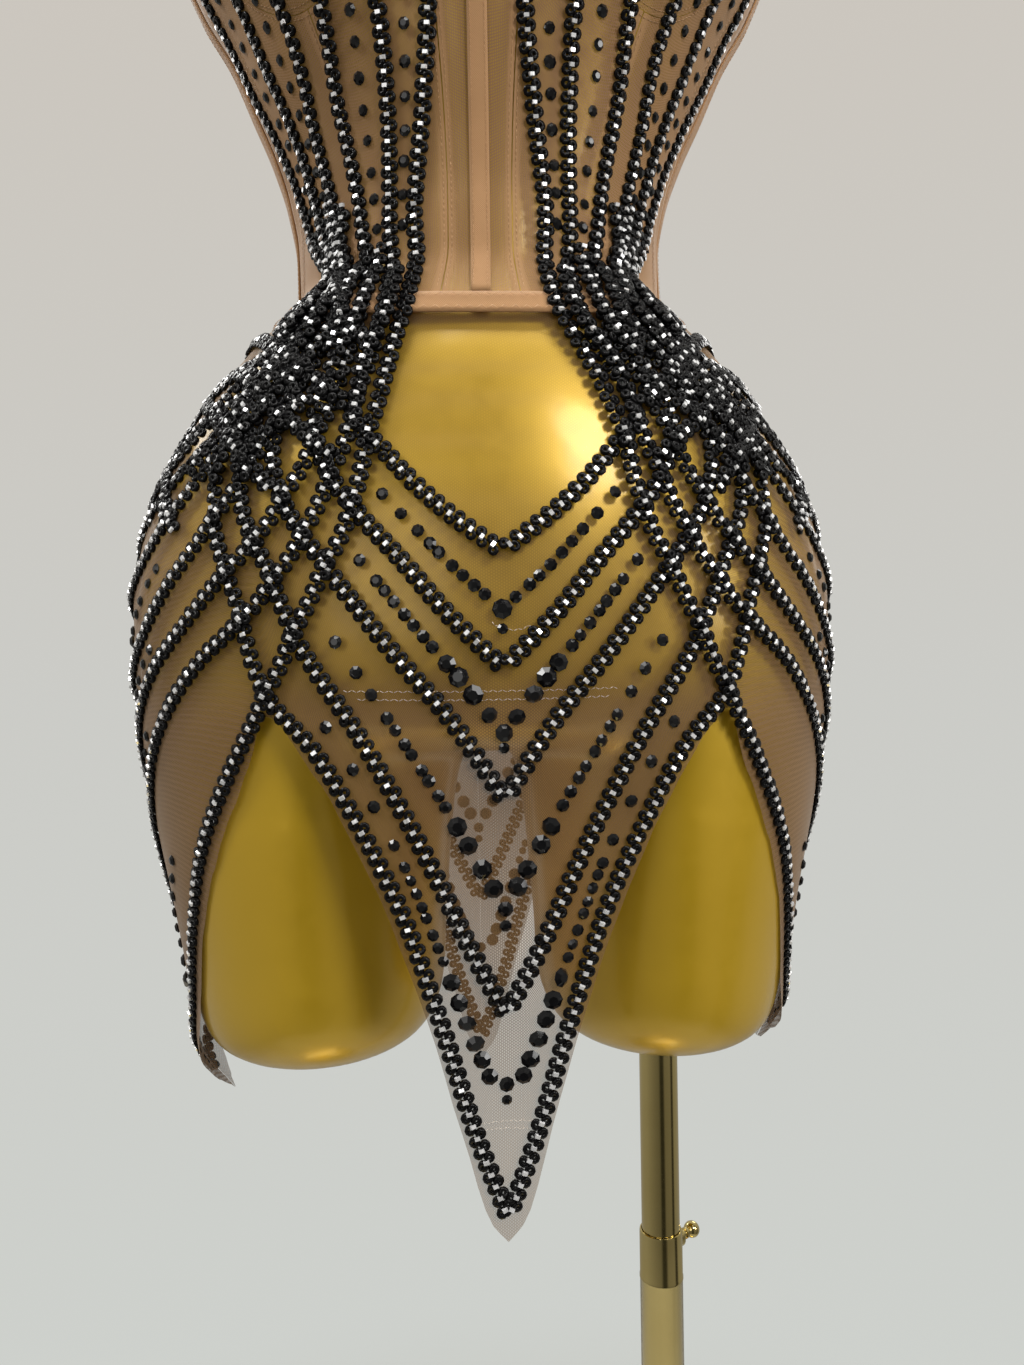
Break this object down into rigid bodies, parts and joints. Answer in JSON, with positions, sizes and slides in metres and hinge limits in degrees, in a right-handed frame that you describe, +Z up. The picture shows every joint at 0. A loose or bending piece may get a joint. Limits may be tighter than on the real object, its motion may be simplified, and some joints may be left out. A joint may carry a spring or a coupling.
{
  "type": "strapless mini dress on dress form stand",
  "caption": "Strapless corset mini dress of sheer nude net with pointed hem and black beaded braid chevrons, on a satin gold torso form and brass pole stand.",
  "frame": {"origin": "On the floor under the centre of the round base plate, which is under the centre of the form.", "axes": "+Z up. -Y is the front of the dress. +X is to the right of someone who looks at its front."},
  "size_m": [0.38, 0.38, 1.56],
  "materials": {
    "brass": "polished",
    "gold_form": "satin gold lacquer over a glass fibre shell",
    "net": "sheer fine stretch net",
    "tape": "matt woven tape",
    "zip_metal": "satin",
    "jet": "polished black glass beads with small bright crystals"
  },
  "bodies": {
    "base": {"base_plate": "brass", "outer_tube": "brass"},
    "clamp": {"clamp_screw": "brass"},
    "post": {"inner_tube": "brass"},
    "form": {"dress_form": "gold_form", "bodice_gore": "net", "bodice_front_right": "net", "bodice_front_left": "net", "bodice_side_front_right": "net", "bodice_side_front_left": "net", "bodice_side_right": "net", "bodice_side_left": "net", "bodice_back_right": "net", "bodice_back_left": "net", "cup_right": "net", "cup_left": "net", "skirt_front": "net", "skirt_back_right": "net", "skirt_back_left": "net", "waist_tape": "tape", "neck_tape": "tape", "bone_casing_front": "tape", "bone_casing_side_right": "tape", "bone_casing_side_left": "tape", "bone_casing_back_right": "tape", "bone_casing_back_left": "tape", "zip": "tape", "zip_slider": "zip_metal", "braid": "jet"},
    "pull": {"zip_pull": "zip_metal"}
  },
  "joints": [
    {"name": "height_slide", "type": "slide", "parent": "base", "child": "post", "axis": [0, 0, 1], "range_m": [-0.05, 0.15]},
    {"name": "form_swivel", "type": "hinge", "parent": "post", "child": "form", "pos_m": [0.086, 0.004, 0.7], "axis": [0, 0, 1], "continuous": true},
    {"name": "clamp_turn", "type": "hinge", "parent": "base", "child": "clamp", "pos_m": [0.086, 0.004, 0.606], "axis": [0.7878, 0.6159, 0], "continuous": true},
    {"name": "pull_swing", "type": "hinge", "parent": "form", "child": "pull", "pos_m": [0.00401, 0.09937, 1.275], "axis": [0.9999, -0.0161, 0], "range_deg": [0, 60]}
  ]
}
